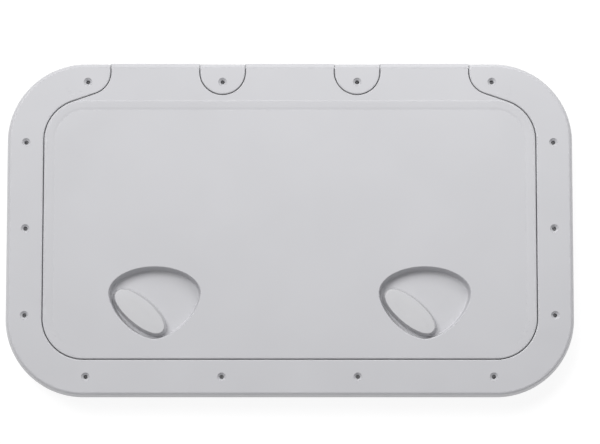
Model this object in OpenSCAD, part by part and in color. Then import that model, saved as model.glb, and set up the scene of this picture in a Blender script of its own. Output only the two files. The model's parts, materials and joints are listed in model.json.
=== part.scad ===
// Rectangular deck hatch: a gutter frame, a lid on four hinge pins and two flush quarter-turn latches.
// The origin is the centre of the fixing holes on the deck plane, under the flange.
// +Z is up, +Y is towards the hinge, and every size is in millimetres.

/* [Frame] */
// Overall width of the flange, along X
frame_w = 600; // [560:5:760]
// Overall depth of the flange, along Y
frame_d = 355; // [330:5:460]
// Height of the flange above the deck
rim_h = 12; // [11:0.5:16]
// Width of the flange, from its outer edge to the lid opening
rim_w = 39; // [34:0.5:46]
// Outer corner radius of the flange, seen from above
corner_r = 83; // [76:0.5:100]
// How far the flange's side leans in over its height
rim_draft = 2.4; // [0.5:0.1:4]
// Width of the bevel along the flange's top edge
rim_edge = 1.8; // [0.5:0.1:3]
// Thickness of the flange's top skin
rim_skin = 3; // [2:0.1:4]
// Thickness of the collar wall and of the gutter floor
wall = 3.5; // [2.5:0.1:4.5]
// Thickness of the flange's outer wall at the deck
rim_wall = 4.5; // [3.5:0.1:6]
// Depth of the collar below the deck
collar_h = 24; // [20:0.5:32]
// Thickness of the ribs under the flange
frame_rib = 2; // [1.5:0.1:3]

/* [Gutter] */
// Depth of the gutter floor's upper face below the deck
gutter_z = 5; // [3:0.5:8]
// Distance from the collar's inner face to the middle of the seal lip
lip_inset = 11.4; // [10:0.1:14]
// Thickness of the seal lip
lip_t = 2; // [1.5:0.1:2.5]
// Height of the seal lip's top above the deck
lip_z = 1; // [0:0.1:1.5]

/* [Fixing screws] */
// Diameter of the screw holes
screw_d = 4.5; // [3.5:0.1:5]
// Diameter of the countersinks at the flange's top face
sink_d = 9; // [7:0.1:10]
// Depth of the countersinks
sink_h = 2.6; // [1.5:0.1:3]
// Outer diameter of the screw bosses under the flange
boss_d = 12; // [10:0.5:15]
// Distance from the flange's front and rear edges to the rows of holes
screw_row_inset = 21; // [19:0.5:23]
// Distance from the flange's side edges to the columns of holes
screw_side_inset = 20.8; // [19:0.1:22]
// Distance from the flange's ends to the first hole of a row or a column
screw_end_inset = 85.7; // [84:0.1:90]

/* [Lid] */
// Gap between the lid and the frame, seen from above
lid_gap = 1.2; // [1:0.1:1.6]
// Thickness of the lid's skin
lid_t = 3.5; // [3:0.1:4]
// Thickness of the lid's skirt
skirt_t = 2.5; // [2:0.1:3]
// Height of the skirt's lower edge above the deck
skirt_z = 3; // [2:0.1:5]
// Thickness of the ribs that hold the seal
seal_rib_t = 1.6; // [1.2:0.1:2]
// Thickness of the stiffening ribs under the lid
lid_rib = 2; // [1.5:0.1:3]
// Depth of the stiffening ribs under the lid's skin
lid_rib_h = 5; // [3:0.5:6]

/* [Seal] */
// Width of the seal
seal_w = 5; // [4:0.1:5.5]
// Clearance on each side of the seal in its groove
seal_side_gap = 0.1; // [0.1:0.05:0.3]
// Clearance between the seal and the frame's lip
seal_lip_gap = 0.3; // [0.3:0.05:0.6]

/* [Hinge] */
// Diameter of the hinge pins
pin_d = 4; // [3:0.1:5]
// Radial running clearance of a pin in the lid's barrel
pin_fit = 0.08; // [0.03:0.01:0.1]
// How far a pin reaches into the lid's barrel
pin_reach = 11; // [8:0.5:16]
// How far a pin is pressed into a corner tab
pin_hold = 13; // [10:0.5:18]
// Clearance under the hinge barrel, and between it and the line of the flange's rear edge
barrel_gap = 0.5; // [0.4:0.1:1]
// Distance from the flange's rear edge to the middle of the rear tabs' round ends
tab_inset = 10.2; // [9.5:0.1:12]
// How far the rear tabs stop short of the lid opening
tab_step = 4.9; // [4.5:0.1:7]
// Thickness of the frame's floor behind the collar, under the lid's hinge strips
sill_t = 1.6; // [1.2:0.1:2.2]

/* [Latch recess] */
// Distance between the two latch pivots
latch_pitch = 284.6; // [240:0.2:300]
// Gap between the recess's bowl and the seal's inner rib
bowl_gap = 3.7; // [2:0.1:10]
// Overall width of the recess at the lid's top face
recess_w = 98; // [86:0.5:118]
// Distance from the pivot to the front end of the recess
recess_front = 16.7; // [16:0.1:19]
// Distance from the pivot to the rear edge of the recess
recess_rear = 59.6; // [59:0.1:63]
// Radius of the recess's rear edge
recess_arc_r = 70; // [62:0.5:80]
// Radius of the recess's two rear corners
recess_corner_r = 19; // [17:0.5:21]
// Radius of the recess's front end and of its shoulders
recess_end_r = 30; // [29:0.5:31]
// Depth of the recess below the lid's top face
recess_h = 13; // [12:0.5:15]
// How far the rear wall and rear corners lean in over the depth
rear_lean = 4.5; // [1:0.1:5]
// How far the front end and the shoulders lean in over the depth
front_lean = 1.2; // [0.8:0.1:2.5]
// Wall thickness of the recess's bowl
bowl_wall = 3; // [2:0.1:3.5]

/* [Latch] */
// Clearance between the lever's tip and the recess's rear wall as it passes
tip_gap = 1.6; // [1.2:0.1:6]
// Clearance between the lever's round end and the recess's front wall
hub_gap = 0.9; // [0.7:0.1:3]
// How full the lever's leaf shape is: 1 is half an oval, less is fuller
leaf_power = 0.85; // [0.75:0.05:1]
// How far the lever at rest lies in front of the recess's rear corner, in degrees
lever_turn = 7.3; // [5:0.1:7.5]
// Depth of the lever's top face below the lid's top face
lever_drop = 1.5; // [1:0.1:3]
// Gap between the lever and the floor of the recess
lever_gap = 0.3; // [0.3:0.1:0.6]
// Width and height of the bevel round the lever's top face
lever_bevel = 1.4; // [0.6:0.1:2]
// Diameter of the lever's spindle
spindle_d = 13; // [12:0.5:14]
// Radial running clearance of the spindle in the lid's boss
spindle_fit = 0.06; // [0.03:0.01:0.1]
// Thickness of the boss wall round the spindle
spindle_boss_wall = 4; // [3:0.5:5]
// Thickness of the O-ring's cord
oring_cord = 1.8; // [1.5:0.1:2]
// Thickness of the thrust washer
thrust_t = 1; // [0.8:0.1:1.5]
// Running gap between the boss and the thrust washer
thrust_gap = 0.1; // [0.1:0.05:0.3]
// Thickness of the tongue
tongue_t = 5; // [4:0.5:6]
// Width of the tongue's arm
tongue_w = 15; // [12:0.5:20]
// Clearance between the gutter floor's underside and the tongue
tongue_gap = 0.6; // [0.4:0.1:1.5]
// Clearance between the collar and the tongue's tip when it is locked
tongue_tip_gap = 5; // [3:0.5:7]
// Side of the spindle's square end, which drives the tongue
drive_w = 8.8; // [7.5:0.1:9]
// Outer diameter of the threaded insert
insert_d = 5.8; // [5.4:0.1:6.4]
// Length of the threaded insert
insert_h = 10; // [6:0.5:11]
// Diameter of the latch screw's thread
latch_screw_d = 4; // [3:0.5:4.5]
// Diameter of the latch screw's head
latch_head_d = 8; // [7:0.5:9]
// Height of the latch screw's head
latch_head_h = 2.4; // [2:0.1:3]
// Outer diameter of the latch screw's washer
washer_d = 12; // [11:0.5:14]
// Thickness of the latch screw's washer
washer_t = 1; // [0.8:0.1:1.2]

/* [Hidden] */
$fn = 96;
SIDES = ["left", "right"];

ASA_WHITE = "#d3d5d9";
ASA_LID = "#cfd1d6";
STEEL = "#b9bdc1";
BRASS = "#c9a44c";
RUBBER = "#2a2b2d";
NYLON = "#e9e6dc";

// Extra length that carries a cut past a face
OVER = 1;
// Facets of a circle inside a hull
HULL_FN = 32;

// Centres of the corner arcs, which the flange, the opening, the lid and the seal share
corner_x = frame_w / 2 - corner_r;
corner_y = frame_d / 2 - corner_r;
open_r = corner_r - rim_w;
lid_r = open_r - lid_gap;
lip_r = open_r - lip_inset;
skin_z = rim_h - lid_t;

// Fixing holes: two rows of four, and two columns of three
screw_x = frame_w / 2 - screw_end_inset;
screw_row_y = frame_d / 2 - screw_row_inset;
screw_col_x = frame_w / 2 - screw_side_inset;
screw_col_y = frame_d / 2 - screw_end_inset;
ROW_X = [-screw_x, -screw_x / 3, screw_x / 3, screw_x];
COL_Y = [-screw_col_y, 0, screw_col_y];
HOLES = concat(
    [for (x = ROW_X, s = [-1, 1]) [x, s * screw_row_y]],
    [for (y = COL_Y, s = [-1, 1]) [s * screw_col_x, y]]);

// Hinge line, rear tabs and hinge strips
barrel_r = (rim_h - sill_t - barrel_gap - 0.1) / 2;
hinge_z = sill_t + barrel_gap + barrel_r;
hinge_y = frame_d / 2 - barrel_gap - barrel_r - 0.1;
tab_y = frame_d / 2 - tab_inset;
tab_r = rim_w - tab_inset - tab_step;
slot_r = tab_r + lid_gap;
strip_end_y = hinge_y + 0.6;
collar_rear_y = corner_y + open_r + wall;
sill_z = skin_z - 1.5;
STRIPS = [
    [-screw_x + slot_r, -screw_x / 3 - slot_r],
    [-screw_x / 3 + slot_r, screw_x / 3 - slot_r],
    [screw_x / 3 + slot_r, screw_x - slot_r]];

// Seal
seal_top = skin_z;
seal_bottom = lip_z + seal_lip_gap;
groove_half = seal_w / 2 + seal_side_gap;

// Latches
latch_inset = recess_front + bowl_wall + bowl_gap + seal_rib_t + groove_half + lip_inset;
pivot_y = latch_inset - corner_y - open_r;
floor_z = rim_h - recess_h;
bowl_z = floor_z - bowl_wall;
boss_z = thrust_gap + thrust_t - tongue_gap - wall - gutter_z;
spindle_r = spindle_d / 2;
boss_r = spindle_r + spindle_fit + spindle_boss_wall;
thrust_z = boss_z - thrust_gap - thrust_t;
tongue_z = thrust_z - tongue_t;
washer_z = tongue_z - washer_t;
head_z = washer_z - latch_head_h;
insert_top = tongue_z + insert_h;
oring_r = spindle_r + spindle_fit + oring_cord / 2 + 0.35;
seat_r = oring_r + oring_cord / 2 + 0.15;
seat_h = oring_cord + 0.1;
hub_r = boss_r + 0.5;
recess_arc_y = recess_rear - recess_arc_r;
recess_corner = [recess_w / 2 - recess_corner_r,
    recess_arc_y + sqrt(pow(recess_arc_r - recess_corner_r, 2) - pow(recess_w / 2 - recess_corner_r, 2))];
lever_angle = atan2(recess_corner.y, -recess_corner.x) + lever_turn;
corner_floor_r = recess_corner_r - rear_lean;
// The lever ends short of the rear wall, and of the corner wall it points at, at rest and turned
lever_len = min(recess_rear - rear_lean,
    reach_to_arc([-recess_corner.x, recess_corner.y], corner_floor_r, lever_angle),
    reach_to_arc(recess_corner, corner_floor_r, lever_angle - 90)) - tip_gap;
lever_hub = recess_front - front_lean - hub_gap;
tongue_reach = latch_inset - tongue_tip_gap;
// Middle of the recess's shoulder arcs, from the pivot
shoulder = [0.59 * (recess_w / 2 - recess_end_r), recess_end_r - recess_front + 8.3];

function side(name) = name == "left" ? -1 : 1;
// Distance from the pivot, in a direction, to the far side of a circle
function reach_to_arc(centre, r, angle) =
    let(along = centre * [cos(angle), sin(angle)]) along + sqrt(r * r - centre * centre + along * along);
function pivot(name) = [side(name) * latch_pitch / 2, pivot_y, 0];

// ---- Shared outlines ----

module rounded_rect(half_x, half_y, r) {
    square([2 * half_x, 2 * (half_y - r)], center = true);
    square([2 * (half_x - r), 2 * half_y], center = true);
    for (sx = [-1, 1], sy = [-1, 1])
        translate([sx * (half_x - r), sy * (half_y - r)]) circle(r);
}

// The line that joins a lid corner to a corner tab touches both arcs: this is the way it faces.
s_turn = asin((lid_r + slot_r) / norm([corner_x - screw_x, tab_y - corner_y]));
s_face = atan2(tab_y - corner_y, corner_x - screw_x) - s_turn + 90;
function s_lid_end(grow) = [-corner_x, corner_y] + (lid_r + grow) * [cos(s_face), sin(s_face)];
function s_tab_end(grow) = [-screw_x, tab_y] - (slot_r - grow) * [cos(s_face), sin(s_face)];

// What the tabs take out of the strip along the hinge
module tab_shapes(r, end_y) {
    for (x = ROW_X) {
        translate([x, tab_y]) circle(r);
        translate([x - r, tab_y]) square([2 * r, end_y - tab_y]);
    }
}

// The lid's outline behind its rear corners, grown by a gap, up to end_y
module strip_plan(grow, start_y, end_y) {
    a = s_lid_end(grow);
    b = s_tab_end(grow);
    difference() {
        union() {
            translate([b.x, start_y]) square([-2 * b.x, end_y - start_y]);
            for (m = [0, 1]) mirror([m, 0])
                polygon([a, b, [b.x, start_y], [a.x, start_y]]);
        }
        tab_shapes(slot_r - grow, end_y + OVER);
    }
}

module lid_plan() {
    rounded_rect(corner_x + lid_r, corner_y + lid_r, lid_r);
    strip_plan(0, corner_y, strip_end_y);
}

// Sweeps a profile, drawn as distance from the corner centre and height, round the hatch.
// The straight stretch along the hinge can be left out.
module sweep(rear = true) {
    for (q = [0:3]) {
        sx = q == 0 || q == 3 ? 1 : -1;
        sy = q < 2 ? 1 : -1;
        run = q % 2 == 0 ? 2 * corner_y : 2 * corner_x;
        translate([sx * corner_x, sy * corner_y, 0]) rotate([0, 0, 90 * q]) {
            rotate_extrude(angle = 90) children();
            if (rear || q != 1) rotate([90, 0, 0]) linear_extrude(run) children();
        }
    }
}

module band(r_in, r_out, z_low, z_high) {
    translate([r_in, z_low]) square([r_out - r_in, z_high - z_low]);
}

// ---- Frame ----

module flange_profile() {
    polygon([
        [open_r, 0], [corner_r, 0],
        [corner_r - rim_draft, rim_h - rim_edge],
        [corner_r - rim_draft - rim_edge, rim_h],
        [open_r, rim_h]]);
}

module gutter_profile() {
    band(open_r, open_r + wall, -collar_h, rim_h / 2);
    band(lip_r - lip_t / 2, open_r + wall / 2, -gutter_z - wall, -gutter_z);
    band(lip_r - lip_t / 2, lip_r + lip_t / 2, -gutter_z - wall, lip_z);
}

module hollow_profile() {
    band(open_r + wall, corner_r - rim_wall, -OVER, rim_h - rim_skin);
}

module flange_rib(at, turn) {
    length = rim_w - wall - rim_wall + 2;
    translate([at.x, at.y, 0]) rotate([0, 0, turn])
        translate([open_r + wall - 1, -frame_rib / 2, 0])
            cube([length, frame_rib, rim_h - rim_skin + 0.5]);
}

module flange_ribs() {
    for (s = [-1, 1]) {
        for (y = [-screw_col_y / 2, screw_col_y / 2])
            flange_rib([s * corner_x, y], 90 - 90 * s);
        flange_rib([s * corner_x, -corner_y], -90 + 45 * s);
    }
    for (x = [-2 / 3, 0, 2 / 3] * screw_x) flange_rib([x, -corner_y], -90);
}

module screw_holes() {
    for (p = HOLES) translate([p.x, p.y, 0]) {
        translate([0, 0, -OVER]) cylinder(h = rim_h + 2 * OVER, d = screw_d);
        translate([0, 0, rim_h - sink_h]) cylinder(h = sink_h, d1 = screw_d, d2 = sink_d);
        translate([0, 0, rim_h]) cylinder(h = OVER, d = sink_d);
    }
}

module frame() {
    color(ASA_WHITE) difference() {
        union() {
            difference() {
                sweep() flange_profile();
                sweep(rear = false) hollow_profile();
            }
            sweep() gutter_profile();
            flange_ribs();
            for (p = HOLES) translate([p.x, p.y, 0]) cylinder(h = rim_h - 1, d = boss_d);
        }
        // room for the lid's hinge strips, over the collar and behind it
        translate([0, 0, sill_z]) linear_extrude(rim_h)
            strip_plan(lid_gap, corner_y, frame_d / 2 + OVER);
        translate([0, 0, sill_t]) linear_extrude(rim_h)
            intersection() {
                strip_plan(lid_gap, corner_y, frame_d / 2 + OVER);
                translate([-corner_x, collar_rear_y]) square([2 * corner_x, rim_w]);
            }
        screw_holes();
        for (i = [0:3]) pin_rod(i, pin_d / 2, 0);
    }
}

// ---- Lid ----

module recess_circles(extra_top, extra_floor, z_low, z_high) {
    step = recess_arc_r - recess_end_r;
    // each entry: centre, radius at the lid's top face, how far it leans in over the recess's depth
    circles = concat(
        [[[0, recess_end_r - recess_front], recess_end_r, front_lean]],
        [for (s = [-1, 1]) [[s * shoulder.x, shoulder.y], recess_end_r, front_lean]],
        [for (s = [-1, 1]) [[s * recess_corner.x, recess_corner.y], recess_corner_r, rear_lean]],
        [for (t = [-20, 0, 20])
            [[step * sin(t), recess_arc_y + step * cos(t)], recess_end_r, rear_lean]]);
    hull() for (c = circles) translate([c[0].x, c[0].y, z_low])
        cylinder(
            h = z_high - z_low,
            r1 = c[1] - c[2] + extra_floor,
            r2 = c[1] + extra_top,
            $fn = HULL_FN);
}

module recess_bowls() {
    for (name = SIDES) translate(pivot(name)) {
        recess_circles(bowl_wall, bowl_wall, bowl_z, skin_z + lid_t / 2);
        translate([0, 0, boss_z]) cylinder(h = floor_z - boss_z, r = boss_r);
    }
}

module recess_cuts() {
    for (name = SIDES) translate(pivot(name)) {
        recess_circles(0, 0, floor_z, rim_h);
        translate([0, 0, boss_z - OVER])
            cylinder(h = rim_h - boss_z, r = spindle_r + spindle_fit);
        translate([0, 0, floor_z - seat_h]) cylinder(h = seat_h + OVER, r = seat_r);
    }
}

module lid_ribs() {
    reach_x = corner_x + lip_r - groove_half;
    reach_y = corner_y + lip_r - groove_half;
    z = skin_z - lid_rib_h;
    height = lid_rib_h + 0.5;
    clear_x = latch_pitch / 2 - recess_w / 2 - bowl_wall - 6;
    outer_x = latch_pitch / 2 + recess_w / 2 + bowl_wall + 6;
    for (x = [-outer_x, -clear_x, clear_x, outer_x])
        translate([x - lid_rib / 2, -reach_y, z]) cube([lid_rib, 2 * reach_y, height]);
    for (y = [0.12, 0.52] * reach_y)
        translate([-reach_x, y - lid_rib / 2, z]) cube([2 * reach_x, lid_rib, height]);
}

module hinge_barrels() {
    for (s = STRIPS) translate([s[0], hinge_y, hinge_z])
        rotate([0, 90, 0]) cylinder(h = s[1] - s[0], r = barrel_r);
}

module lid() {
    color(ASA_LID) difference() {
        union() {
            translate([0, 0, skin_z]) linear_extrude(lid_t) lid_plan();
            sweep() band(lid_r - skirt_t, lid_r, skirt_z, skin_z + 0.5);
            sweep() band(lip_r + groove_half, lip_r + groove_half + seal_rib_t, skirt_z, skin_z + 0.5);
            sweep() band(lip_r - groove_half - seal_rib_t, lip_r - groove_half, skirt_z, skin_z + 0.5);
            hinge_barrels();
            lid_ribs();
            recess_bowls();
        }
        recess_cuts();
        for (i = [0:3]) pin_rod(i, pin_d / 2 + pin_fit, 1);
    }
}

module lid_seal() {
    color(RUBBER) sweep() band(lip_r - seal_w / 2, lip_r + seal_w / 2, seal_bottom, seal_top);
}

// ---- Hinge pins: the two outer ones stop inside the corner tabs ----

function pin_start(i) = i == 0 ? -screw_x + tab_r - pin_hold : ROW_X[i] - slot_r - pin_reach;
function pin_end(i) = i == 3 ? screw_x - tab_r + pin_hold : ROW_X[i] + slot_r + pin_reach;

module pin_rod(i, r, extra) {
    translate([pin_start(i) - extra, hinge_y, hinge_z]) rotate([0, 90, 0])
        cylinder(h = pin_end(i) - pin_start(i) + 2 * extra, r = r);
}

module hinge_pin(i) {
    color(STEEL) pin_rod(i, pin_d / 2, 0);
}

// ---- Latches ----

// A round hub about the pivot that runs out into a leaf along +X
module leaf(inset) {
    hub = lever_hub - inset;
    polygon([for (t = [-180:5:175])
        let(length = cos(t) > 0 ? lever_len - inset : hub, power = cos(t) > 0 ? leaf_power : 1)
            [length * cos(t), hub * sign(t) * pow(abs(sin(t)), power)]]);
}

module latch_lever(name) {
    low = floor_z + lever_gap;
    high = rim_h - lever_drop;
    color(ASA_WHITE) translate(pivot(name)) difference() {
        union() {
            translate([0, 0, low]) rotate([0, 0, lever_angle]) {
                linear_extrude(high - low - lever_bevel) leaf(0);
                linear_extrude(high - low) leaf(lever_bevel);
            }
            translate([0, 0, thrust_z]) cylinder(h = low - thrust_z + 1, d = spindle_d);
            translate([-drive_w / 2, -drive_w / 2, tongue_z])
                cube([drive_w, drive_w, tongue_t + thrust_t / 2]);
        }
        translate([0, 0, tongue_z - OVER]) cylinder(h = insert_h + OVER, d = insert_d);
    }
}

module latch_insert(name) {
    color(BRASS) translate(pivot(name)) translate([0, 0, tongue_z]) difference() {
        cylinder(h = insert_h, d = insert_d);
        translate([0, 0, -OVER]) cylinder(h = insert_h + 2 * OVER, d = latch_screw_d);
    }
}

module latch_oring(name) {
    color(RUBBER) translate(pivot(name)) translate([0, 0, floor_z - seat_h + oring_cord / 2])
        rotate_extrude() translate([oring_r, 0]) circle(d = oring_cord);
}

module latch_thrust_washer(name) {
    color(NYLON) translate(pivot(name)) translate([0, 0, thrust_z]) difference() {
        cylinder(h = thrust_t, r = hub_r);
        translate([0, 0, -OVER]) cylinder(h = thrust_t + 2 * OVER, d = spindle_d);
    }
}

module latch_tongue(name) {
    color(STEEL) translate(pivot(name)) translate([0, 0, tongue_z]) difference() {
        linear_extrude(tongue_t) {
            circle(hub_r);
            translate([0, -tongue_w / 2]) square([tongue_reach - tongue_w / 2, tongue_w]);
            translate([tongue_reach - tongue_w / 2, 0]) circle(d = tongue_w);
        }
        translate([-drive_w / 2, -drive_w / 2, -OVER]) cube([drive_w, drive_w, tongue_t + 2 * OVER]);
    }
}

module latch_washer(name) {
    color(STEEL) translate(pivot(name)) translate([0, 0, washer_z]) difference() {
        cylinder(h = washer_t, d = washer_d);
        translate([0, 0, -OVER]) cylinder(h = washer_t + 2 * OVER, d = latch_screw_d);
    }
}

module latch_screw(name) {
    color(STEEL) translate(pivot(name)) difference() {
        union() {
            translate([0, 0, head_z]) cylinder(h = latch_head_h, d = latch_head_d);
            translate([0, 0, head_z]) cylinder(h = insert_top - 1 - head_z, d = latch_screw_d);
        }
        // cross recess
        for (a = [0, 90]) rotate([0, 0, a])
            translate([-latch_head_d / 4, -0.5, head_z - OVER])
                cube([latch_head_d / 2, 1, OVER + latch_head_h / 2]);
    }
}

frame();
lid();
lid_seal();
hinge_pin(0);  // hinge_pin_far_left
hinge_pin(1);  // hinge_pin_mid_left
hinge_pin(2);  // hinge_pin_mid_right
hinge_pin(3);  // hinge_pin_far_right
latch_lever("left");  // latch_lever_left
latch_insert("left");  // latch_insert_left
latch_oring("left");  // latch_oring_left
latch_thrust_washer("left");  // latch_thrust_washer_left
latch_tongue("left");  // latch_tongue_left
latch_washer("left");  // latch_washer_left
latch_screw("left");  // latch_screw_left
latch_lever("right");  // latch_lever_right
latch_insert("right");  // latch_insert_right
latch_oring("right");  // latch_oring_right
latch_thrust_washer("right");  // latch_thrust_washer_right
latch_tongue("right");  // latch_tongue_right
latch_washer("right");  // latch_washer_right
latch_screw("right");  // latch_screw_right
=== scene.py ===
# %% [markdown]
# # A boat's deck hatch
#
# The object is a moulded hatch for a boat's deck. A flanged frame is screwed into a hole in the deck,
# and its gutter catches rain before it gets below. A flat lid drops into the frame and turns on four
# steel pins along its rear edge. Two quarter-turn latches sit in shallow recesses, so nothing stands
# above the deck to trip on. The plastic pieces are ASA, which keeps its colour in sunlight.
#
# This first cell loads the measured model. Every later piece takes its place from it.

# %% Load the frame of the model
import math

import bmesh
import bpy
from mathutils import Matrix, Vector
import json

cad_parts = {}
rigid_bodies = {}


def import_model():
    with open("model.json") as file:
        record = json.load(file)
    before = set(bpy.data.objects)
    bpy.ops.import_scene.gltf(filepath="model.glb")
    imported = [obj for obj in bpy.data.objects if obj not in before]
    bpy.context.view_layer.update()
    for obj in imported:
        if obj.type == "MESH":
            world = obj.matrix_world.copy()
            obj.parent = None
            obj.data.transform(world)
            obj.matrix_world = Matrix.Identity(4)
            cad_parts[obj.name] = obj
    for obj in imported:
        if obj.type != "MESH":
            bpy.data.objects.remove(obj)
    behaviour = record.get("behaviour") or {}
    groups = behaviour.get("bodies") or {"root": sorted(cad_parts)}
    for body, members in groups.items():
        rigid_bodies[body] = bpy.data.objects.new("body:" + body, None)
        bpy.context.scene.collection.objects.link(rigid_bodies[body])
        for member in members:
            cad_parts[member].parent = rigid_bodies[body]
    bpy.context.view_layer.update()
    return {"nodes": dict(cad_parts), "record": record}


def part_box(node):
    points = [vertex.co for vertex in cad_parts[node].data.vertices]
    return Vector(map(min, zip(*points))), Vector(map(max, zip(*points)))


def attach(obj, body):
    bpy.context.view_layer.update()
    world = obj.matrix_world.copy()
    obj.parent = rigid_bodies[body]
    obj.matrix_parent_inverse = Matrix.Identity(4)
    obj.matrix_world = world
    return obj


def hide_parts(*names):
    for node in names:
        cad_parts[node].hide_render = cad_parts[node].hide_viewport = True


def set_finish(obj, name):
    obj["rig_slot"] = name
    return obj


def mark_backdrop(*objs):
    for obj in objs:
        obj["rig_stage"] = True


for thing in list(bpy.data.objects):
    bpy.data.objects.remove(thing)

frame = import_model()
nodes = frame["nodes"]
print("nodes:", len(nodes))

# %% [markdown]
# ## The hatch's real sizes
#
# Moulds are drawn in millimetres, so all sizes below are too, and each finished piece is scaled to
# metres once. A hatch like this is drawn round four corner centres. The lid, the seal, the gutter and
# the flange are all curves about those same four points, so each needs only its distance from them.

# %% Sizes in millimetres
MM = 0.001


def box_mm(node):
    low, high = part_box(node)
    return low / MM, high / MM


frame_low, frame_high = box_mm("frame")
lid_high = box_mm("lid")[1]
pin_low, pin_high = box_mm("hinge_pin_mid_left")

# Heights
RIM_TOP = frame_high.z
COLLAR_FOOT = frame_low.z
GUTTER = -5.0
GUTTER_FOOT = -8.5
SKIN_FOOT = 8.5
# Distances from the corner centres
FLANGE_R = 83.0
CORNER = Vector((frame_high.x - FLANGE_R, frame_high.y - FLANGE_R))
OPENING_R = 44.0
COLLAR_R = 47.5
LIP_IN, LIP_OUT = 31.6, 33.6
LID_R = lid_high.x - CORNER.x + 0.4
LID_GAP = OPENING_R - LID_R
# The hinge, and the tabs of the frame that hold its pins
HINGE = Vector((0, (pin_low.y + pin_high.y) / 2, (pin_low.z + pin_high.z) / 2))
PIN_R = 2.0
BARREL_R = 4.9
STRIP_END = HINGE.y + 0.6
SCREW_ROW = 214.3
TAB_Y = 167.3
TAB_R = 24.7
print(f"corner centres at {CORNER.x:.1f}, {CORNER.y:.1f}; lid radius {LID_R:.2f}")
print(f"hinge at {HINGE.y:.1f}, {HINGE.z:.1f}")

# %% [markdown]
# ## Carrying a profile round an outline
#
# Most of the hatch is one cross-section carried round a rounded rectangle. In Blender it could be a
# curve with a bevel object, but then its corners are hard to place to a tenth of a millimetre. Here a
# circle's vertices are spread over the outline, and its edges are extruded once for each corner of the
# cross-section. A bevel then rounds each corner that a mould would round.

# %% Helper: an outline wrapped round points, and a profile swept along it
def wrap(points):
    """The outline of a band pulled round the points, by the way it faces and the distance out."""

    def at(turn, out, z):
        face = Vector((math.cos(turn), math.sin(turn)))
        x, y = max(points, key=lambda p: p[0] * face.x + p[1] * face.y)
        return Vector((x + face.x * out, y + face.y * out, z))

    return at


HATCH = wrap([(sx * CORNER.x, sy * CORNER.y) for sx in (-1, 1) for sy in (-1, 1)])


def sweep(outline, corners, segments=96, closed=True):
    """corners lists the profile: distance out, height, and the width of the bevel that rounds it."""
    bm = bmesh.new()
    turn = bm.verts.layers.float.new("turn")
    ring = bm.edges.layers.int.new("ring")
    verts = bmesh.ops.create_circle(bm, segments=segments, radius=1.0)["verts"]
    for v in verts:
        v[turn] = math.atan2(v.co.y, v.co.x) + math.pi / segments
    edges = first = bm.edges[:]
    for number, (out, z, _) in enumerate(corners, 1):
        if number > 1:
            made = bmesh.ops.extrude_edge_only(bm, edges=edges)["geom"]
            verts = [g for g in made if isinstance(g, bmesh.types.BMVert)]
            new = set(verts)
            edges = [g for g in made if isinstance(g, bmesh.types.BMEdge) and set(g.verts) <= new]
        for v in verts:
            v.co = outline(v[turn], out, z)
        for e in edges:
            e[ring] = number
    if closed:
        bmesh.ops.bridge_loops(bm, edges=first + edges)
    else:
        bmesh.ops.contextual_create(bm, geom=first)
        bmesh.ops.contextual_create(bm, geom=edges)
    for width in sorted({c[2] for c in corners if c[2]}):
        round_these = {n for n, c in enumerate(corners, 1) if c[2] == width}
        bmesh.ops.bevel(bm, geom=[e for e in bm.edges if e[ring] in round_these], offset=width, segments=4,
                        profile=0.5, affect="EDGES", material=-1, clamp_overlap=True)
    bmesh.ops.recalc_face_normals(bm, faces=bm.faces[:])
    return bm


# %% [markdown]
# ## Solids that join and cut
#
# A mould is planned as simple solids that add to or cut into each other: a boss joins the flange, a
# drill cuts the boss. Blender's Boolean modifier does that. It wants closed meshes, so every helper
# here makes one.

# %% Helpers: blocks, rods, and joining or cutting with them
def block(low, high, turn=0.0, about=(0, 0, 0)):
    bm = bmesh.new()
    bmesh.ops.create_cube(bm, size=1.0)
    size = Vector(high) - Vector(low)
    bmesh.ops.scale(bm, vec=size, verts=bm.verts[:])
    bmesh.ops.translate(bm, vec=(Vector(low) + Vector(high)) / 2, verts=bm.verts[:])
    bmesh.ops.rotate(bm, cent=(0, 0, 0), matrix=Matrix.Rotation(turn, 3, "Z"), verts=bm.verts[:])
    bmesh.ops.translate(bm, vec=about, verts=bm.verts[:])
    return bm


def rod(centre, radius, low, high, along="Z", segments=40):
    bm = bmesh.new()
    bmesh.ops.create_cone(bm, cap_ends=True, segments=segments, radius1=radius, radius2=radius,
                          depth=high - low)
    bmesh.ops.translate(bm, vec=(0, 0, (low + high) / 2), verts=bm.verts[:])
    if along == "X":
        bmesh.ops.rotate(bm, cent=(0, 0, 0), matrix=Matrix.Rotation(math.pi / 2, 3, "Y"), verts=bm.verts[:])
    bmesh.ops.translate(bm, vec=centre, verts=bm.verts[:])
    return bm


def as_object(bm, name="tool"):
    mesh = bpy.data.meshes.new(name)
    bm.to_mesh(mesh)
    bm.free()
    made = bpy.data.objects.new(name, mesh)
    bpy.context.scene.collection.objects.link(made)
    return made


def combine(target, tools, how):
    """Joins or cuts the target with each tool, and removes the tools."""
    for tool in tools:
        tool = as_object(tool)
        step = target.modifiers.new("step", "BOOLEAN")
        step.operation, step.solver, step.object = how, "MANIFOLD", tool
        view = bpy.context.evaluated_depsgraph_get()
        made = bpy.data.meshes.new_from_object(target.evaluated_get(view))
        target.modifiers.clear()
        target.data = made
        bpy.data.objects.remove(tool)
    return target


# %% [markdown]
# ## Outlines with straight runs and arcs
#
# The lid's rear corners swing out in an S to make room for the corner tabs, and each tab is a round
# tongue. A pen that draws lines and arcs suits such an outline. Each arc is one vertex spun about the
# arc's centre, so it is a true circle and meets its neighbours without a kink.

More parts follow.
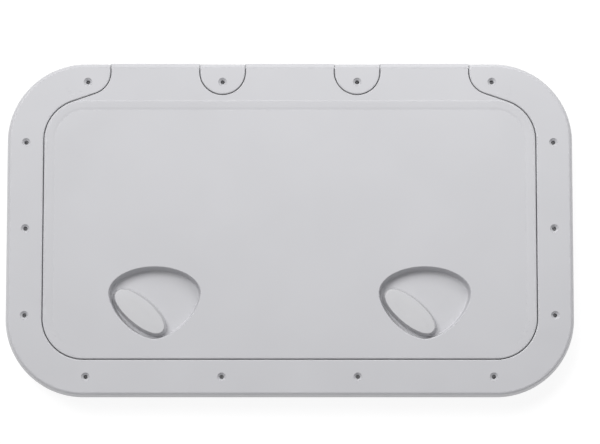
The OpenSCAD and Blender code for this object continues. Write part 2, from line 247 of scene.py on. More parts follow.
# %% Helper: a pen that draws half an outline, which is then mirrored
def draw(start, moves, z, step=6.0):
    bm = bmesh.new()
    tip = bm.verts.new((*start, z))
    for move in moves:
        if move[0] == "line":
            made = bmesh.ops.extrude_vert_indiv(bm, verts=[tip])["verts"]
            tip = made[0]
            tip.co = (*move[1], z)
        else:
            _, centre, degrees = move
            steps = max(2, round(abs(degrees) / step))
            made = bmesh.ops.spin(bm, geom=[tip], cent=(*centre, z), axis=(0, 0, 1),
                                  angle=math.radians(degrees), steps=steps, use_duplicate=False)
            tip = [g for g in made["geom_last"] if isinstance(g, bmesh.types.BMVert)][0]
    bmesh.ops.mirror(bm, geom=bm.verts[:] + bm.edges[:], axis="X", merge_dist=0.01)
    bmesh.ops.remove_doubles(bm, verts=bm.verts[:], dist=0.01)
    bmesh.ops.contextual_create(bm, geom=bm.edges[:])
    return bm


def thicken(bm, height):
    """Turns a flat outline into a plate that ends height above it, or below if height is negative."""
    made = bmesh.ops.extrude_face_region(bm, geom=bm.faces[:])["geom"]
    verts = [g for g in made if isinstance(g, bmesh.types.BMVert)]
    bmesh.ops.translate(bm, vec=(0, 0, height), verts=verts)
    bmesh.ops.recalc_face_normals(bm, faces=bm.faces[:])
    return bm


def s_face():
    """The way the straight part of the S faces, on the left: it touches the lid's corner and the tab."""
    across = Vector((CORNER.x - SCREW_ROW, TAB_Y - CORNER.y))
    turn = math.asin((LID_R + TAB_R) / across.length)
    return math.atan2(across.y, across.x) - turn + math.pi / 2


def strip_outline(grow, start_y, end_y, z):
    """The part of the lid's outline along the hinge: from a corner's arc, down the S, round the tabs."""
    r_tab = TAB_R - grow
    face = s_face()
    a = Vector((-CORNER.x + (LID_R + grow) * math.cos(face), CORNER.y + (LID_R + grow) * math.sin(face)))
    b = Vector((-SCREW_ROW - r_tab * math.cos(face), TAB_Y - r_tab * math.sin(face)))
    inner = -SCREW_ROW / 3
    moves = [
        ("line", (a.x, start_y)), ("line", a), ("line", b),
        ("arc", (-SCREW_ROW, TAB_Y), 180 - math.degrees(face)),
        ("line", (-SCREW_ROW + r_tab, end_y)), ("line", (inner - r_tab, end_y)),
        ("line", (inner - r_tab, TAB_Y)), ("arc", (inner, TAB_Y), 180),
        ("line", (inner + r_tab, end_y)), ("line", (0, end_y)),
    ]
    return draw((0, start_y), moves, z)


print(f"the S faces {math.degrees(s_face()):.1f} degrees")

# %% [markdown]
# ## The frame's moulding
#
# The frame is a flange with a hollow underside, a collar that goes down through the deck, a gutter
# inside it and an upright lip that the seal presses on. All of that is one cross-section, so it is
# swept once round the hatch. Along the hinge the flange is solid, so that it can hold the pins.

# %% The frame: flange, collar, gutter and lip in one sweep
TOP_R = 80.2
WALL_R = 78.5
CORE_TOP = 9.0
LIP_TOP = 1.0
EDGE = 1.3
FLANGE = [
    (FLANGE_R, 0, 0.3), (TOP_R, RIM_TOP, 2.4), (OPENING_R, RIM_TOP, EDGE), (OPENING_R, GUTTER, 1.2),
    (LIP_OUT, GUTTER, 0.8), (LIP_OUT, LIP_TOP, 0.6), (LIP_IN, LIP_TOP, 0.6), (LIP_IN, GUTTER_FOOT, 0.6),
    (OPENING_R, GUTTER_FOOT, 1.2), (OPENING_R, COLLAR_FOOT, 0.6), (COLLAR_R, COLLAR_FOOT, 0.6),
    (COLLAR_R, CORE_TOP, 0.8), (WALL_R, CORE_TOP, 0.8), (WALL_R, 0, 0.3),
]
frame_moulding = as_object(sweep(HATCH, FLANGE, segments=120), "frame_moulding")
print("flange, gutter and lip:", len(frame_moulding.data.polygons), "faces")

# %% [markdown]
# ## Bosses and ribs under the flange
#
# A thick flange would sink as it cools, so it is cored out from below and stiffened with thin ribs.
# Round bosses take the deck screws. They are joined to the swept flange before anything is drilled.

# %% Join the solid rear, the screw bosses and the ribs
SCREW_Y, SCREW_X, SIDE_PITCH = 156.5, 279.2, 91.8
SCREWS = [(sx * x, sy * SCREW_Y) for x in (SCREW_ROW, SCREW_ROW / 3) for sx in (-1, 1) for sy in (-1, 1)]
SCREWS += [(sx * SCREW_X, y) for sx in (-1, 1) for y in (-SIDE_PITCH, 0, SIDE_PITCH)]
BOSS_R = 6.0
RIB_HALF = 1
JOINED_TOP = 10
SOLID_R = 79.2


def flange_rib(x, y, degrees):
    """A rib that runs outwards from the collar to the flange's wall."""
    low, high = (COLLAR_R - 1, -RIB_HALF, 0), (WALL_R + 1, RIB_HALF, CORE_TOP + 0.5)
    return block(low, high, math.radians(degrees), (x, y, 0))


joined = [block((-CORNER.x, CORNER.y + COLLAR_R - 1, 0), (CORNER.x, CORNER.y + SOLID_R, JOINED_TOP))]
joined += [rod((x, y, 0), BOSS_R, 0, JOINED_TOP, segments=32) for x, y in SCREWS]
for side in (-1, 1):
    joined += [flange_rib(side * CORNER.x, y, 90 - 90 * side) for y in (-SIDE_PITCH / 2, SIDE_PITCH / 2)]
    joined += [flange_rib(side * CORNER.x, -CORNER.y, 45 * side - 90)]
joined += [flange_rib(x * SCREW_ROW, -CORNER.y, -90) for x in (-2 / 3, 0, 2 / 3)]
combine(frame_moulding, joined, "UNION")
print("bosses:", len(SCREWS), "faces now:", len(frame_moulding.data.polygons))

# %% [markdown]
# ## Room for the lid's hinge strips
#
# The lid's hinge strips lie between the tabs, flush with the flange. The cutter has the lid's own
# outline, larger by the running gap. Its top edge flares outwards in a quarter circle, so the cut
# leaves the tabs with a rounded edge, as a mould does.

# %% Cut the strips' beds, and drill and countersink the screw holes
BED_END = frame_high.y + 5
BED_FOOT = 7.0
BARREL_ROOM_TOP, BARREL_ROOM = 7.5, 5.9
HOLE_R, HEAD_R, HEAD_DEPTH = 2.25, 4.5, 2.6


def flared(outline_at, edge, foot):
    """A cutter that narrows by a quarter circle below the flange's top, then goes straight down."""
    bm = outline_at(edge, RIM_TOP + 1)
    thicken(bm, -1)
    turns = [math.pi / 8 * n for n in range(5)]
    for a, b in zip(turns, turns[1:]):
        face = min(bm.faces, key=lambda f: f.calc_center_median().z)
        inwards, down = edge * (math.sin(b) - math.sin(a)), edge * (math.cos(a) - math.cos(b))
        bmesh.ops.inset_region(bm, faces=[face], use_even_offset=True, use_boundary=True,
                               thickness=inwards, depth=down)
    face = min(bm.faces, key=lambda f: f.calc_center_median().z)
    made = bmesh.ops.extrude_discrete_faces(bm, faces=[face])["faces"]
    bmesh.ops.translate(bm, vec=(0, 0, foot - RIM_TOP + edge), verts=made[0].verts[:])
    bmesh.ops.recalc_face_normals(bm, faces=bm.faces[:])
    return bm


def strip_bed(grow, z):
    return strip_outline(LID_GAP + grow, CORNER.y, BED_END, z)


def barrel_room():
    """The lower part of the bed, where the barrels lie. It is cut behind the collar only."""
    bm = thicken(strip_bed(0, BARREL_ROOM_TOP), -BARREL_ROOM)
    bmesh.ops.bisect_plane(bm, geom=bm.verts[:] + bm.edges[:] + bm.faces[:],
                           plane_co=(0, CORNER.y + COLLAR_R, 0), plane_no=(0, 1, 0), clear_inner=True)
    bmesh.ops.holes_fill(bm, edges=[e for e in bm.edges if e.is_boundary])
    bmesh.ops.recalc_face_normals(bm, faces=bm.faces[:])
    return bm


def screw_hole(x, y):
    """A drill and its countersink in one, as a profile swept about one point."""
    drill = [(HOLE_R, -1, 0), (HOLE_R, RIM_TOP - HEAD_DEPTH, 0)]
    countersink = [(HEAD_R, RIM_TOP - 0.2, 0), (HEAD_R, RIM_TOP + 1, 0)]
    return sweep(wrap([(x, y)]), drill + countersink, segments=32, closed=False)


pin_boxes = [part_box(name) for name in nodes if name.startswith("hinge_pin")]
pin_ends = [(low.x / MM, high.x / MM) for low, high in pin_boxes]
cuts = [flared(strip_bed, EDGE, BED_FOOT), barrel_room()] + [screw_hole(x, y) for x, y in SCREWS]
cuts += [rod(HINGE, PIN_R, a, b, "X", 32) for a, b in pin_ends]
combine(frame_moulding, cuts, "DIFFERENCE")
print("frame cut:", len(frame_moulding.data.polygons), "faces")

# %% [markdown]
# ## The lid's moulding
#
# The lid is a thin skin, stiffened by a skirt round its edge, two low walls that hold the seal, and
# ribs. Its field slopes very slightly, from flush at the front to 0.65 mm low in front of the hinge,
# where a soft step shows. The main panel is swept like the frame; the hinge strips are a second plate.

# %% The lid's skin, strips and skirt
FLUSH_R, STEP_R, FIELD_R = 40.2, 34.8, 32.4
STEP_Z, FIELD_Z = RIM_TOP - 0.01, RIM_TOP - 0.02
# How far each ring of the field has sunk when it reaches the hinge, by the ring's height
SINKS = {STEP_Z: 0.3, FIELD_Z: 0.65}
PANEL = [
    (LID_R, SKIN_FOOT, 0.0), (LID_R, RIM_TOP, 1.3), (FLUSH_R, RIM_TOP, 0.7),
    (STEP_R, STEP_Z, 0.5), (FIELD_R, FIELD_Z, 0.6),
]
STRIP_TOP = RIM_TOP - 0.2
field_end = CORNER.y + LID_R


def lid_outline(turn, out, z):
    """The same outline as the hatch; the field's own corners sink with their distance from the front."""
    p = HATCH(turn, out, z)
    if z in SINKS:
        p.z = RIM_TOP - SINKS[z] * (p.y + field_end) / (2 * field_end)
    return p


lid_moulding = as_object(sweep(lid_outline, PANEL, segments=120, closed=False), "lid_moulding")
strips = thicken(strip_outline(0.0, CORNER.y + FLUSH_R, STRIP_END, SKIN_FOOT), STRIP_TOP - SKIN_FOOT)
top_edges = [e for e in strips.edges if all(v.co.z > SKIN_FOOT + 1 for v in e.verts)
             and any(v.co.y > CORNER.y + FLUSH_R + 0.8 for v in e.verts)]
bmesh.ops.bevel(strips, geom=top_edges, offset=0.8, segments=4, profile=0.5, affect="EDGES", material=-1)


WALL_FOOT, WALL_TOP = 3.0, 9.2
SKIRT_IN = 40.3
SEAL_WALLS = [(35.7, 37.3), (27.9, 29.5)]
RIB_FOOT, RIB_TOP = 3.5, 9
RIB_X, RIB_ENDS_Y = (-200.3, -84.3, 84.3, 200.3), 124
RIB_Y, RIB_ENDS_X = (14.8, 64.1), 246


def band(inner, outer, edge):
    """A low wall under the skin, all the way round the lid."""
    profile = [(outer, WALL_TOP, 0), (outer, WALL_FOOT, edge), (inner, WALL_FOOT, edge), (inner, WALL_TOP, 0)]
    return sweep(HATCH, profile, segments=120)


joined = [strips, band(SKIRT_IN, LID_R, 0.4)] + [band(inner, outer, 0.3) for inner, outer in SEAL_WALLS]
between = [(-SCREW_ROW, -SCREW_ROW / 3), (-SCREW_ROW / 3, SCREW_ROW / 3), (SCREW_ROW / 3, SCREW_ROW)]
joined += [rod(HINGE, BARREL_R, a + TAB_R, b - TAB_R, "X", 48) for a, b in between]
for x in RIB_X:
    joined.append(block((x - RIB_HALF, -RIB_ENDS_Y, RIB_FOOT), (x + RIB_HALF, RIB_ENDS_Y, RIB_TOP)))
for y in RIB_Y:
    joined.append(block((-RIB_ENDS_X, y - RIB_HALF, RIB_FOOT), (RIB_ENDS_X, y + RIB_HALF, RIB_TOP)))
combine(lid_moulding, joined, "UNION")
print("lid skin and ribs:", len(lid_moulding.data.polygons), "faces")

# %% [markdown]
# ## The two latch recesses
#
# Each recess is an egg-shaped cup: a narrow front end under the lever's hub, and a wide rear where
# fingers go in. The egg is half an ellipse behind its widest line and a slightly leaner curve in front.
# Each ring of the cup is the same egg a little smaller, so the walls lean in and the mould can open. The
# cup is joined as a solid, and its hollow is cut with a cutter whose top flares into a soft lip.

# %% Cups, hollows, and the bores for the spindles
washers = {side: box_mm("latch_washer_" + side) for side in ("left", "right")}
PIVOTS = {side: (low + high) / 2 for side, (low, high) in washers.items()}
FLOOR = RIM_TOP - 13.0
FRONT_LEAN, REAR_LEAN = 0.8, 2.9
LIP = 1.6
EGG_Y, EGG_HALF, EGG_REAR, EGG_FRONT = 31.0, 48.2, 28.0, 48.1
# The exponent of a superellipse: 2 / 2 would be an ellipse, and a larger one is leaner
FRONT_POWER = 2 / 1.65
CUP_WALL = 3
BOSS_OUT_R, BOSS_FOOT = 10.56, -8.0
SPINDLE_BORE_R, RING_SEAT_R, RING_SEAT = 6.56, 8.86, 1.9
BARREL_BORE_R = 2.08


def recess(side):
    """The recess's outline: it leans in most at the rear, where the fingers slide down to the floor."""

    def at(turn, out, z):
        c, s = math.cos(turn), math.sin(turn)
        lean = FRONT_LEAN + (REAR_LEAN - FRONT_LEAN) * (1 + s) / 2
        out -= lean * (RIM_TOP - min(z, RIM_TOP)) / (RIM_TOP - FLOOR)
        power = 1.0 if s > 0 else FRONT_POWER
        x = (EGG_HALF + out) * math.copysign(abs(c) ** power, c)
        y = EGG_Y + ((EGG_REAR if s > 0 else EGG_FRONT) + out) * math.copysign(abs(s) ** power, s)
        return Vector((PIVOTS[side].x + x, PIVOTS[side].y + y, z))

    return at


def cup(side):
    outside = [(CUP_WALL, 10.5, 0), (CUP_WALL, FLOOR - CUP_WALL, 2.5)]
    return sweep(recess(side), outside, segments=128, closed=False)


def hollow(side):
    """The cutter for a cup's inside. Its top flares out in a quarter circle."""
    turns = [math.pi / 12 * n for n in range(7)]
    flare = [(LIP * (1 - math.sin(t)), RIM_TOP - LIP + LIP * math.cos(t), 0) for t in turns]
    return sweep(recess(side), [(LIP, RIM_TOP + 1, 0), *flare, (0, FLOOR, 1.4)], segments=192, closed=False)


def upright(side, radius, low, high, segments=48):
    """A rod on the axis of a latch."""
    return rod((*PIVOTS[side].xy, 0), radius, low, high, segments=segments)


cups = [cup(side) for side in PIVOTS]
bosses = [upright(side, BOSS_OUT_R, BOSS_FOOT, FLOOR - 1) for side in PIVOTS]
combine(lid_moulding, cups + bosses, "UNION")
cuts = [hollow(side) for side in PIVOTS]
cuts += [upright(side, SPINDLE_BORE_R, BOSS_FOOT - 1, 5) for side in PIVOTS]
cuts += [upright(side, RING_SEAT_R, FLOOR - RING_SEAT, 5) for side in PIVOTS]
cuts += [rod(HINGE, BARREL_BORE_R, a - 1, b + 1, "X", 32) for a, b in pin_ends]
combine(lid_moulding, cuts, "DIFFERENCE")
print("lid with recesses:", len(lid_moulding.data.polygons), "faces")

# %% [markdown]
# ## The levers
#
# A lever is a leaf that covers its spindle and reaches towards the recess's wide rear, where a finger
# gets behind it. Its sides lean in, and its top rises only a fraction of a millimetre to the middle.
# The outline is one oval with flattened sides, and each ring of the lever is the same oval a little
# smaller and higher. The spindle and its square end are joined underneath.

# %% Levers with their spindles
LEVER_TOP = RIM_TOP - 1.5
LEVER_FOOT = FLOOR + 0.3
LEVER_LEAN, LEVER_EDGE = 2.2, 0.9
LEVER_TURN = math.radians(139.8)
LEAF_MIDDLE, LEAF_AHEAD, LEAF_BEHIND, LEAF_HALF = 19.5, 34.3, 34.0, 15.4
LEAF_SHIFT = 1.2
LEAF_POWER = 0.88
# The rings of the flat top: how far each lies inside the edge, and how far it has risen
CROWN = ((0.8, 0.02), (3.0, 0.1), (6.0, 0.2), (8.0, 0.22))
SPINDLE_R, SPINDLE_FOOT, SQUARE = 6.5, -9.1, 4.4
INSERT_R, INSERT_LENGTH = 2.9, 10


def leaf(turn, out, z):
    """The lever's outline along X, from behind the spindle to its tip."""
    c, s = math.cos(turn), math.sin(turn)
    x = LEAF_MIDDLE + ((LEAF_AHEAD if c > 0 else LEAF_BEHIND) + out) * c
    return Vector((x, LEAF_SHIFT + (LEAF_HALF + out) * math.copysign(abs(s) ** LEAF_POWER, s), z))


def lever_rings():
    """The lever's rings from its foot up: the leaning side, the rounded edge, then the almost flat top."""
    inside, height = -LEVER_LEAN - LEVER_EDGE, LEVER_TOP - 0.3
    turns = [math.pi / 10 * n for n in range(6)]
    rings = [(-0.5, LEVER_FOOT, 0), (0, LEVER_FOOT + 0.6, 0)]
    rings += [(inside + LEVER_EDGE * math.cos(t), height - LEVER_EDGE + LEVER_EDGE * math.sin(t), 0)
              for t in turns]
    return rings + [(inside - inwards, height + rise, 0) for inwards, rise in CROWN]


def make_lever(side):
    foot = box_mm("latch_lever_" + side)[0].z
    x, y = PIVOTS[side].xy
    bm = sweep(leaf, lever_rings(), segments=128, closed=False)
    bmesh.ops.rotate(bm, cent=(0, 0, 0), matrix=Matrix.Rotation(LEVER_TURN, 3, "Z"), verts=bm.verts[:])
    bmesh.ops.translate(bm, vec=(x, y, 0), verts=bm.verts[:])
    lever = as_object(bm, "lever_" + side)
    spindle = upright(side, SPINDLE_R, SPINDLE_FOOT, LEVER_FOOT + 1)
    square = block((x - SQUARE, y - SQUARE, foot), (x + SQUARE, y + SQUARE, SPINDLE_FOOT + 0.5))
    combine(lever, [spindle, square], "UNION")
    return combine(lever, [upright(side, INSERT_R, foot - 1, foot + INSERT_LENGTH, 32)], "DIFFERENCE")


levers = {side: make_lever(side) for side in PIVOTS}
for side, lever in levers.items():
    print(lever.name, len(lever.data.polygons), "faces")

# %% [markdown]
# ## The seal
#
# The lid's seal is a strip of foam rubber, glued between two low walls, with a rounded nose that the
# frame's lip sinks into.

# %% The seal
seal_low, seal_high = box_mm("lid_seal")
SEAL_IN, SEAL_OUT, NOSE = 30.1, 35.1, 1.8
SEAL = [
    (SEAL_OUT, seal_high.z, 0), (SEAL_OUT, seal_low.z, NOSE),
    (SEAL_IN, seal_low.z, NOSE), (SEAL_IN, seal_high.z, 0),
]
seal_ring = as_object(sweep(HATCH, SEAL, segments=120), "seal_ring")
print("seal:", len(seal_ring.data.polygons), "faces")

# %% [markdown]
# ## The tongues and their screws
#
# Under the lid each latch turns a flat steel tongue, blanked from bar, so its edges are broken by
# tumbling. A pan-head screw holds it on the spindle's square. Blank and hole are plain solids, and a
# bevel on every sharp edge gives the tumbled look. The screw is a profile swept about its own axis.

# %% Tongues and pan-head screws
TONGUE_HALF = 7.5
MERGE = 0.004


def make_tongue(side):
    low, high = box_mm("latch_tongue_" + side)
    x, y = PIVOTS[side].xy
    tip_x = high.x - TONGUE_HALF
    tongue = as_object(rod((x, y, 0), x - low.x, low.z, high.z, segments=48), "tongue_" + side)
    arm = block((x, y - TONGUE_HALF, low.z), (tip_x, y + TONGUE_HALF, high.z))
    tip = rod((tip_x, y, 0), TONGUE_HALF, low.z, high.z, segments=48)
    combine(tongue, [arm, tip], "UNION")
    hole = block((x - SQUARE, y - SQUARE, low.z - 1), (x + SQUARE, y + SQUARE, high.z + 1))
    combine(tongue, [hole], "DIFFERENCE")
    bm = bmesh.new()
    bm.from_mesh(tongue.data)
    bmesh.ops.remove_doubles(bm, verts=bm.verts[:], dist=MERGE)
    level = [e for e in bm.edges if abs(e.verts[0].co.z - e.verts[1].co.z) < 0.1]
    sharp = [e for e in level if e.calc_face_angle(0.0) > 1.2]
    bmesh.ops.bevel(bm, geom=sharp, offset=0.4, segments=2, profile=0.5, affect="EDGES", material=-1,
                    clamp_overlap=True)
    bm.to_mesh(tongue.data)
    bm.free()
    return tongue


def make_screw(side):
    low, high = box_mm("latch_screw_" + side)
    x, y = PIVOTS[side].xy
    head = low.z + 2.4
    shape = [(2.0, high.z, 0.4), (2.0, head, 0), (4.0, head, 0.2), (4.0, low.z, 1.3)]
    screw = as_object(sweep(wrap([(x, y)]), shape, segments=40, closed=False), "screw_" + side)
    cross = [block((-2, -0.5, low.z - 1), (2, 0.5, low.z + 1.2), turn, (x, y, 0)) for turn in (0, math.pi / 2)]
    return combine(screw, cross, "DIFFERENCE")


tongues = {side: make_tongue(side) for side in PIVOTS}
screws = {side: make_screw(side) for side in PIVOTS}
print("tongue faces:", len(tongues["left"].data.polygons))
print("screw faces:", len(screws["left"].data.polygons))

# %% [markdown]
# ## Finishing a piece
#
# Each piece is scaled to metres with its object left at the origin. Faces are shaded smooth except
# across real edges, and weighted normals keep the big flat faces flat beside their bevels.

# %% Helper: finish a piece and let it ride on its body
SHARP = math.radians(38)


def finish(piece, body, slot, *stands_for):
    bm = bmesh.new()
    bm.from_mesh(piece.data)
    bmesh.ops.remove_doubles(bm, verts=bm.verts[:], dist=MERGE)
    bmesh.ops.dissolve_degenerate(bm, edges=bm.edges[:], dist=0.001)
    bmesh.ops.scale(bm, vec=(MM, MM, MM), verts=bm.verts[:])
    bm.to_mesh(piece.data)
    bm.free()
    mesh = piece.data
    mesh.polygons.foreach_set("use_smooth", [True] * len(mesh.polygons))
    mesh.set_sharp_from_angle(angle=SHARP)
    even = piece.modifiers.new("even", "WEIGHTED_NORMAL")
    even.keep_sharp = True
    even.weight = 80
    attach(piece, body)
    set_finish(piece, slot)
    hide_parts(*stands_for)
    return piece


finish(frame_moulding, "frame", "frame_asa", "frame")
finish(lid_moulding, "lid", "lid_asa", "lid")
finish(seal_ring, "lid", "epdm_rubber", "lid_seal")
for side, lever in levers.items():
    finish(lever, "latch_" + side, "lever_asa", "latch_lever_" + side)
    finish(tongues[side], "latch_" + side, "stainless_steel", "latch_tongue_" + side)
    finish(screws[side], "latch_" + side, "stainless_steel", "latch_screw_" + side)

# %% [markdown]
# ## Colours and nodes
#
# Paint charts and screens give a colour as sRGB, but the shader works in linear light, so one small
# function converts it. A second adds a node with its settings and links in one line, which keeps each
# material short enough to read as a list of what the real surface has. Patterns use Object coordinates,
# so they stay put when the piece moves, and a pattern's scale is one over the spacing of its detail.

# %% Helpers: sRGB colours, a new material and a new node
def srgb(code):
    values = [int(code[i:i + 2], 16) / 255 for i in (0, 2, 4)]
    return (*[v / 12.92 if v <= 0.04045 else ((v + 0.055) / 1.055) ** 2.4 for v in values], 1.0)


def start(name):
    material = bpy.data.materials.new(name)
    material.use_nodes = True
    return material, material.node_tree, material.node_tree.nodes["Principled BSDF"]


def add(tree, kind, settings=None, **links):
    node = tree.nodes.new(kind)
    for key, value in (settings or {}).items():
        if hasattr(node, key):
            setattr(node, key, value)
        else:
            node.inputs[key].default_value = value
    for key, source in links.items():
        tree.links.new(source, node.inputs[key.replace("_", " ")])
    return node


print("C5C5C8 in linear light:", [round(v, 3) for v in srgb("C5C5C8")[:3]])

# %% [markdown]
# ## Moulded plastic
#
# The frame, the lid and the levers are injection-moulded ASA. The mould is spark-eroded, which leaves a
# fine satin grain and hides scratches. Where the melt flowed and cooled unevenly, the tone and gloss
# drift over a hand's width. Handling polishes the grain a little in patches. So the material is a grain,
# a slow flow pattern and a patchy polish between the two. The levers' mould is smoother than the lid's.

# %% Moulded ASA and nylon
def moulded(name, colour, roughness, grain_mm, depth_mm, drift=0.03):
    material, tree, shader = start(name)
    where = add(tree, "ShaderNodeTexCoord").outputs["Object"]
    # The real grain is about 0.2 mm wide; it is drawn coarser so that it shows
    grain = add(tree, "ShaderNodeTexNoise", {"Scale": 1000 / grain_mm, "Detail": 3.0, "Roughness": 0.6},
                Vector=where)
    flow = add(tree, "ShaderNodeTexNoise", {"Scale": 1000 / 85, "Detail": 2.0, "Distortion": 0.4},
               Vector=where)
    polish = add(tree, "ShaderNodeTexNoise", {"Scale": 1000 / 22, "Detail": 4.0, "Roughness": 0.55},
                 Vector=where)
    tint = add(tree, "ShaderNodeValToRGB", Fac=flow.outputs["Fac"])
    low, high = tint.color_ramp.elements
    low.position, high.position = 0.3, 0.7
    low.color, high.color = (*[c * (1 - drift) for c in srgb(colour)[:3]], 1), srgb(colour)
    patches = add(tree, "ShaderNodeMapRange",
                  {"From Min": 0.35, "From Max": 0.65, "To Min": -0.03, "To Max": 0.03},
                  Value=polish.outputs["Fac"])
    sheen = add(tree, "ShaderNodeMapRange", {"To Min": roughness - 0.05, "To Max": roughness + 0.05},
                Value=grain.outputs["Fac"])
    gloss = add(tree, "ShaderNodeMath", {"operation": "ADD"})
    tree.links.new(sheen.outputs["Result"], gloss.inputs[0])
    tree.links.new(patches.outputs["Result"], gloss.inputs[1])
    bump = add(tree, "ShaderNodeBump", {"Strength": 0.35, "Distance": depth_mm * MM},
               Height=grain.outputs["Fac"])
    tree.links.new(tint.outputs["Color"], shader.inputs["Base Color"])
    tree.links.new(gloss.outputs["Value"], shader.inputs["Roughness"])
    tree.links.new(bump.outputs["Normal"], shader.inputs["Normal"])
    shader.inputs["IOR"].default_value = 1.49
    return material


# Satin grey that scatters the light softly, so the wide flange shows no mirror-like streaks
frame_asa = moulded("satin_moulded_asa", "C5C5C8", 0.44, 0.9, 0.03)
# A slightly deeper grain underfoot, which makes the lid the dullest of the three
lid_asa = moulded("grained_moulded_asa", "C5C5C8", 0.52, 0.7, 0.045)
# Smoother and a touch lighter, so a lever stands out in the shade of its recess
lever_asa = moulded("smooth_moulded_asa", "C8C8CA", 0.38, 1.1, 0.02, 0.02)
# Undyed nylon is warm white and waxy
nylon = moulded("natural_moulded_nylon", "E0DCCE", 0.4, 0.8, 0.02)
print("moulded plastics:", frame_asa.name, lid_asa.name, lever_asa.name, nylon.name)

# %% [markdown]
# ## Rubber
#
# The seal and the O-rings are EPDM rubber. Extruded foam has a thin skin full of tiny pores, and it
# picks up pale dust from the lip it presses on. Voronoi cells make good pores, because they're round
# and unevenly spaced, and a broad noise lightens the dusty patches.

# %% EPDM rubber
def rubber(name, clean, dusty, pore_mm):
    material, tree, shader = start(name)
    where = add(tree, "ShaderNodeTexCoord").outputs["Object"]
    pores = add(tree, "ShaderNodeTexVoronoi", {"Scale": 1000 / pore_mm}, Vector=where)
    dust = add(tree, "ShaderNodeTexNoise", {"Scale": 1000 / 30, "Detail": 5.0}, Vector=where)
    tint = add(tree, "ShaderNodeValToRGB", Fac=dust.outputs["Fac"])
    low, high = tint.color_ramp.elements
    low.position, high.position = 0.4, 0.8
    low.color, high.color = srgb(clean), srgb(dusty)
    bump = add(tree, "ShaderNodeBump", {"Strength": 0.5, "Distance": 0.1 * MM},
               Height=pores.outputs["Distance"])
    tree.links.new(tint.outputs["Color"], shader.inputs["Base Color"])
    tree.links.new(bump.outputs["Normal"], shader.inputs["Normal"])
    shader.inputs["Roughness"].default_value = 0.8
    return material


# Near-black and matt, which draws a clear line round the lid's underside
epdm = rubber("extruded_epdm_rubber", "242427", "3A3A3C", 0.7)
print("rubber:", epdm.name)

# %% [markdown]
# ## Metals
#
# The pins, tongues, washers and screws are stainless steel, and the inserts are turned brass. Drawing
# and turning leave fine lines, and handling leaves smudges that dull the metal in soft patches. Noise
# stretched along one axis gives the lines, and plain noise gives the smudges.

# %% Stainless steel and brass
def metal(name, colour, roughness, line_mm, along):
    material, tree, shader = start(name)
    where = add(tree, "ShaderNodeTexCoord").outputs["Object"]
    # Real draw lines are a few hundredths of a millimetre apart; they're drawn coarser so that they show
    across = [1000 / line_mm if axis != along else 1000 / (line_mm * 20) for axis in "XYZ"]
    stretched = add(tree, "ShaderNodeMapping", {"Scale": across}, Vector=where)
    lines = add(tree, "ShaderNodeTexNoise", {"Scale": 1.0, "Detail": 2.0}, Vector=stretched.outputs["Vector"])
    smudge = add(tree, "ShaderNodeTexNoise", {"Scale": 1000 / 9, "Detail": 3.0}, Vector=where)
    patches = add(tree, "ShaderNodeMapRange",
                  {"From Min": 0.35, "From Max": 0.65, "To Min": 0.0, "To Max": 0.1},
                  Value=smudge.outputs["Fac"])
    sheen = add(tree, "ShaderNodeMapRange", {"To Min": roughness - 0.05, "To Max": roughness + 0.05},
                Value=lines.outputs["Fac"])
    gloss = add(tree, "ShaderNodeMath", {"operation": "ADD"})
    tree.links.new(sheen.outputs["Result"], gloss.inputs[0])
    tree.links.new(patches.outputs["Result"], gloss.inputs[1])
    bump = add(tree, "ShaderNodeBump", {"Strength": 0.08, "Distance": 0.02 * MM},
               Height=lines.outputs["Fac"])
    tree.links.new(gloss.outputs["Value"], shader.inputs["Roughness"])
    tree.links.new(bump.outputs["Normal"], shader.inputs["Normal"])
    shader.inputs["Base Color"].default_value = srgb(colour)
    shader.inputs["Metallic"].default_value = 1.0
    return material


# Cool grey with blurred reflections, like bar stock that was tumbled but not polished
steel = metal("tumbled_stainless_steel", "CACBCD", 0.32, 0.5, "X")
# Warm yellow, with rings from the lathe
brass = metal("turned_brass", "C9A24B", 0.28, 0.4, "Y")
print("metals:", steel.name, brass.name)

# %% [markdown]
# ## Painting the pieces
#
# The record gives each part a material slot, so a table from slot to material finishes them all, the
# measured parts and the new pieces alike.

# %% Give every piece its material
finishes = {"frame_asa": frame_asa, "lid_asa": lid_asa, "lever_asa": lever_asa, "epdm_rubber": epdm,
            "stainless_steel": steel, "brass": brass, "nylon": nylon}
slot_of = {part["node"]: part["material_slot"] for part in frame["record"]["subparts"]}
new_pieces = [frame_moulding, lid_moulding, seal_ring, *levers.values(), *tongues.values(), *screws.values()]
painted = {node: slot_of[name] for name, node in nodes.items()}
painted |= {piece: piece["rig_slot"] for piece in new_pieces}
for thing, slot in painted.items():
    thing.data.materials.clear()
    thing.data.materials.append(finishes[slot])
print("painted:", len(painted), "pieces with", len(finishes), "materials")

# %% [markdown]
# ## The floor
#
# The hatch stands on its collar on a plain white sheet. The sheet glows as well as reflects, as a light
# table does, so the hatch's own shadow stays faint. The glowing sheet would show through the empty screw
# holes, so a small dull disc under each boss, out of sight, paints their shade: its pale colour and faint glow
# set how dark they look.

# %% Floor, and discs that paint shade into the screw holes
def stage_piece(name, bm, colour, glow):
    bmesh.ops.scale(bm, vec=(MM, MM, MM), verts=bm.verts[:])
    piece = as_object(bm, name)
    material, tree, shader = start(name + "_paper")
    shader.inputs["Base Color"].default_value = srgb(colour)
    shader.inputs["Roughness"].default_value = 1.0
    shader.inputs["Emission Color"].default_value = (1, 1, 1, 1)
    shader.inputs["Emission Strength"].default_value = glow
    piece.data.materials.append(material)
    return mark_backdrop(piece)


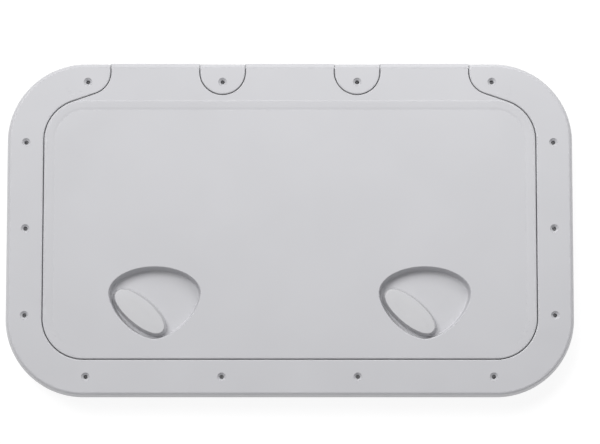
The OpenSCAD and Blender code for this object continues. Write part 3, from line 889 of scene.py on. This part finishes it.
SHEET_HALF = 3000
DISC_R, DISC_THICK = 5.6, 0.4
sheet = bmesh.new()
bmesh.ops.create_grid(sheet, x_segments=1, y_segments=1, size=SHEET_HALF)
bmesh.ops.translate(sheet, vec=(0, 0, COLLAR_FOOT), verts=sheet.verts[:])
stage_piece("floor", sheet, "7C7C7C", 0.86)
shade_discs = bmesh.new()
for x, y in SCREWS:
    made = bmesh.ops.create_cone(shade_discs, cap_ends=True, segments=24, radius1=DISC_R, radius2=DISC_R,
                                 depth=DISC_THICK)
    bmesh.ops.translate(shade_discs, vec=(x, y, -DISC_THICK), verts=made["verts"])
# Painted shade: the discs' pale colour and faint glow set how dark the empty screw holes look
stage_piece("hole_shade_discs", shade_discs, "F2F2F2", 0.03)
print("floor at z", COLLAR_FOOT, "with", len(SCREWS), "shade_discs")

# %% [markdown]
# ## Light
#
# A big softbox far away, behind and to the left, lights the flat faces evenly and leaves the walls that
# face forwards in shade, which draws the recesses. A small one close behind brightens the hinge side.
# A pale sky fills in the rest.

# %% Two softboxes and a pale sky
def softbox(name, place, size, power):
    light = bpy.data.lights.new(name, "AREA")
    light.shape, light.size, light.energy = "SQUARE", size, power
    lamp = bpy.data.objects.new(name, light)
    bpy.context.scene.collection.objects.link(lamp)
    lamp.location = place
    lamp.rotation_euler = (-Vector(place)).to_track_quat("-Z", "Y").to_euler()
    return lamp


lamps = [
    softbox("key_softbox", (-1.8, 2.0, 3.9), 2.2, 131),
    softbox("rear_softbox", (0.27, 0.75, 0.9), 0.7, 5.9),
]
sky = bpy.data.worlds.new("sky")
sky.use_nodes = True
sky.node_tree.nodes["Background"].inputs["Color"].default_value = srgb("FBFBFD")
sky.node_tree.nodes["Background"].inputs["Strength"].default_value = 0.345
bpy.context.scene.world = sky
bpy.context.scene.view_settings.view_transform = "Standard"
print("softboxes:", len(lamps))

# %% [markdown]
# ## Camera
#
# The hatch is seen from almost straight above, a few degrees forward of it, through a long lens, so its
# sides stay nearly parallel. The camera looks at a point on the lid's top close to the middle.

# %% Camera
TILT, AWAY = math.radians(6.5), 2.83
aim = Vector((0.01076, 0.00683, RIM_TOP * MM))
camera_data = bpy.data.cameras.new("camera")
camera_data.sensor_width, camera_data.lens = 36.0, 160.9
camera_data.clip_end = 50.0
camera = bpy.data.objects.new("camera", camera_data)
bpy.context.scene.collection.objects.link(camera)
camera.rotation_euler = (TILT, 0, 0)
camera.location = aim + AWAY * Vector((0, -math.sin(TILT), math.cos(TILT)))
bpy.context.scene.camera = camera
print("camera at", [round(v, 2) for v in camera.location])
